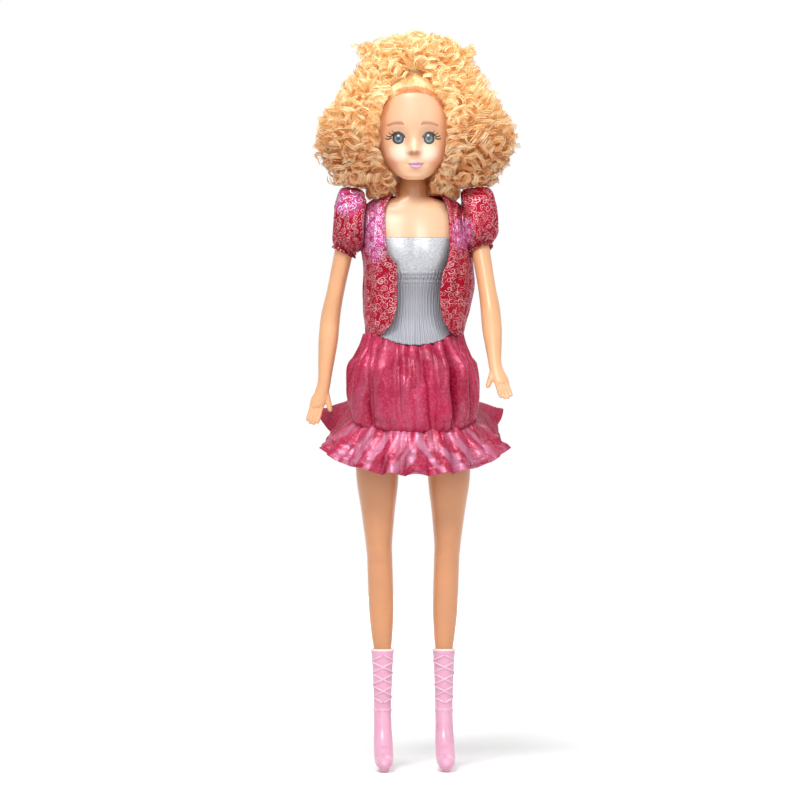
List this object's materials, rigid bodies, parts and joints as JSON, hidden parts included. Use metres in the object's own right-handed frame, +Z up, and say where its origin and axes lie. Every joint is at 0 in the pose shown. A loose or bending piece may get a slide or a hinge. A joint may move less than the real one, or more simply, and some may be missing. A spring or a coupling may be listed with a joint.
{
  "type": "fashion doll",
  "caption": "Dressed fashion doll with a turning head, swinging arms and legs, curly hair, short jacket, tiered skirt and high-heeled boots.",
  "frame": {"origin": "on the floor, under the middle of the doll's bounding box", "axes": "+Z up, the doll faces -Y, +X is its own left side"},
  "size_m": [0.0896, 0.0784, 0.3086],
  "materials": {
    "skin": "satin vinyl",
    "peg": "plain",
    "hair": "curled fibre",
    "elastic": "knitted band",
    "silver_knit": "metallic knit",
    "closure": "hook and loop",
    "satin": "satin",
    "jacket": "satin with foil print",
    "boot": "gloss soft vinyl"
  },
  "bodies": {
    "torso": {"torso_front": "skin", "torso_back": "skin", "neck_peg": "peg", "bodice": "silver_knit", "closure_loop_strip": "closure", "closure_hook_strip": "closure", "waist_elastic": "satin", "skirt_tier": "satin", "skirt_flounce": "satin", "jacket_back": "jacket", "jacket_front_right": "jacket", "jacket_front_left": "jacket"},
    "head": {"head_shell": "skin", "hair_top": "hair", "hair_right": "hair", "hair_left": "hair", "hair_back": "hair", "hair_front": "hair", "hair_tie": "elastic"},
    "right_arm": {"right_arm": "skin", "right_sleeve": "jacket", "right_cuff_elastic": "jacket"},
    "left_arm": {"left_arm": "skin", "left_sleeve": "jacket", "left_cuff_elastic": "jacket"},
    "right_leg": {"right_leg": "skin", "right_boot": "boot"},
    "left_leg": {"left_leg": "skin", "left_boot": "boot"}
  },
  "joints": [
    {"name": "head_turn", "type": "hinge", "parent": "torso", "child": "head", "pos_m": [0.00056, 0.00558, 0.254], "axis": [0, 0, 1], "range_deg": [-60, 60]},
    {"name": "right_arm_swing", "type": "hinge", "parent": "torso", "child": "right_arm", "pos_m": [-0.02564, 0.00558, 0.2305], "axis": [-1, 0, 0], "range_deg": [-45, 125]},
    {"name": "left_arm_swing", "type": "hinge", "parent": "torso", "child": "left_arm", "pos_m": [0.02676, 0.00558, 0.2305], "axis": [-1, 0, 0], "range_deg": [-72, 98]},
    {"name": "right_leg_swing", "type": "hinge", "parent": "torso", "child": "right_leg", "pos_m": [-0.01494, 0.00558, 0.152], "axis": [-1, 0, 0], "range_deg": [-20, 90], "deforming": ["skirt_tier", "skirt_flounce"]},
    {"name": "left_leg_swing", "type": "hinge", "parent": "torso", "child": "left_leg", "pos_m": [0.01606, 0.00558, 0.152], "axis": [-1, 0, 0], "range_deg": [-20, 90], "deforming": ["skirt_tier", "skirt_flounce"]}
  ]
}
